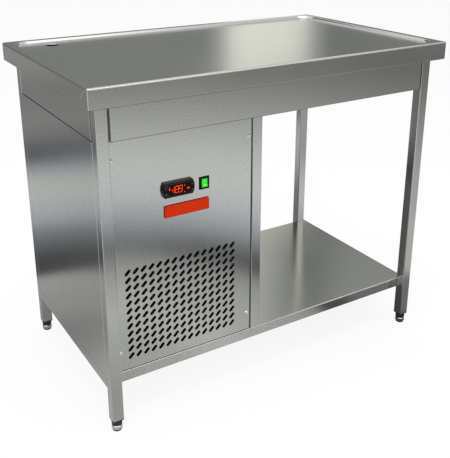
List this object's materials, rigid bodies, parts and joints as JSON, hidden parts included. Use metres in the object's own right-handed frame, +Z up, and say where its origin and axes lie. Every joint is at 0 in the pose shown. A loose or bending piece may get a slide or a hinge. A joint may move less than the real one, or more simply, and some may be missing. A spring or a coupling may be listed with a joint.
{
  "type": "cold top table",
  "caption": "Refrigerated serving table with a sunk stainless top, a vented machine compartment with its controller on one side, and an open shelf bay on the other.",
  "frame": {"origin": "on the floor, under the middle of the worktop", "axes": "+X along the front to the right, +Y from the front to the rear, +Z up"},
  "size_m": [1, 0.6, 0.85],
  "materials": {
    "stainless": "brushed",
    "galvanised": "galvanised",
    "foot_chrome": "polished",
    "fin_aluminium": "mill",
    "fin_black": "black coated",
    "copper": "drawn tube",
    "black_paint": "satin",
    "plate_orange": "satin",
    "black_plastic": "matt",
    "grey_plastic": "matt",
    "key_grey": "matt",
    "gloss_black": "glossy",
    "display": "glossy",
    "rocker_green": "lit, glossy",
    "black_rubber": "matt",
    "foam": "closed-cell foam"
  },
  "bodies": {
    "table": {"worktop": "stainless", "front_apron": "stainless", "rear_apron": "stainless", "left_apron": "stainless", "right_apron": "stainless", "shelf": "stainless", "shelf_stiffener": "stainless", "left_side_panel": "stainless", "inner_side_panel": "stainless", "service_panel": "stainless", "rear_panel": "stainless", "body_bottom_cover": "stainless", "panel_screws": "stainless", "drain_cup": "stainless", "leg_front_left": "stainless", "leg_front_right": "stainless", "leg_rear_left": "stainless", "leg_rear_right": "stainless", "leg_plug_front_left": "black_plastic", "leg_plug_front_right": "black_plastic", "leg_plug_rear_left": "black_plastic", "leg_plug_rear_right": "black_plastic", "insulation": "foam", "evaporator_coil": "copper", "temperature_probe": "stainless", "drain_pipe": "grey_plastic", "cable_gland": "black_plastic", "controller_bezel": "gloss_black", "display_window": "display", "controller_case": "black_plastic", "switch_frame": "black_plastic", "front_plate": "plate_orange", "unit_base": "galvanised", "compressor": "black_paint", "compressor_grommets": "black_rubber", "terminal_box": "black_plastic", "condenser": "fin_black", "fan_shroud": "black_paint", "fan_motor": "black_paint", "fan_bracket": "galvanised", "filter_drier": "copper", "discharge_pipe": "copper", "liquid_pipe": "copper", "suction_pipe": "copper"},
    "front_left_foot": {"foot_front_left": "foot_chrome", "foot_pad_front_left": "black_rubber"},
    "front_right_foot": {"foot_front_right": "foot_chrome", "foot_pad_front_right": "black_rubber"},
    "rear_left_foot": {"foot_rear_left": "foot_chrome", "foot_pad_rear_left": "black_rubber"},
    "rear_right_foot": {"foot_rear_right": "foot_chrome", "foot_pad_rear_right": "black_rubber"},
    "key_up_cap": {"key_up": "key_grey"},
    "key_down_cap": {"key_down": "key_grey"},
    "key_set_cap": {"key_set": "key_grey"},
    "key_standby_cap": {"key_standby": "key_grey"},
    "rocker": {"switch_rocker": "rocker_green"},
    "fan": {"fan_blade": "fin_aluminium", "fan_shaft": "foot_chrome"}
  },
  "joints": [
    {"name": "front_left_foot_screw", "type": "slide", "parent": "table", "child": "front_left_foot", "axis": [0, 0, -1], "range_m": [0, 0.02]},
    {"name": "front_right_foot_screw", "type": "slide", "parent": "table", "child": "front_right_foot", "axis": [0, 0, -1], "range_m": [0, 0.02]},
    {"name": "rear_left_foot_screw", "type": "slide", "parent": "table", "child": "rear_left_foot", "axis": [0, 0, -1], "range_m": [0, 0.02]},
    {"name": "rear_right_foot_screw", "type": "slide", "parent": "table", "child": "rear_right_foot", "axis": [0, 0, -1], "range_m": [0, 0.02]},
    {"name": "key_up_press", "type": "slide", "parent": "table", "child": "key_up_cap", "axis": [0, 1, 0], "range_m": [0, 0.0006], "stiffness_N_per_m": 2000},
    {"name": "key_down_press", "type": "slide", "parent": "table", "child": "key_down_cap", "axis": [0, 1, 0], "range_m": [0, 0.0006], "stiffness_N_per_m": 2000},
    {"name": "key_set_press", "type": "slide", "parent": "table", "child": "key_set_cap", "axis": [0, 1, 0], "range_m": [0, 0.0006], "stiffness_N_per_m": 2000},
    {"name": "key_standby_press", "type": "slide", "parent": "table", "child": "key_standby_cap", "axis": [0, 1, 0], "range_m": [0, 0.0006], "stiffness_N_per_m": 2000},
    {"name": "rocker_tilt", "type": "hinge", "parent": "table", "child": "rocker", "pos_m": [-0.2067, -0.244, 0.578], "axis": [1, 0, 0], "range_deg": [0, 14]},
    {"name": "fan_spin", "type": "hinge", "parent": "table", "child": "fan", "pos_m": [-0.26, -0.142, 0.28], "axis": [0, 1, 0], "continuous": true}
  ]
}
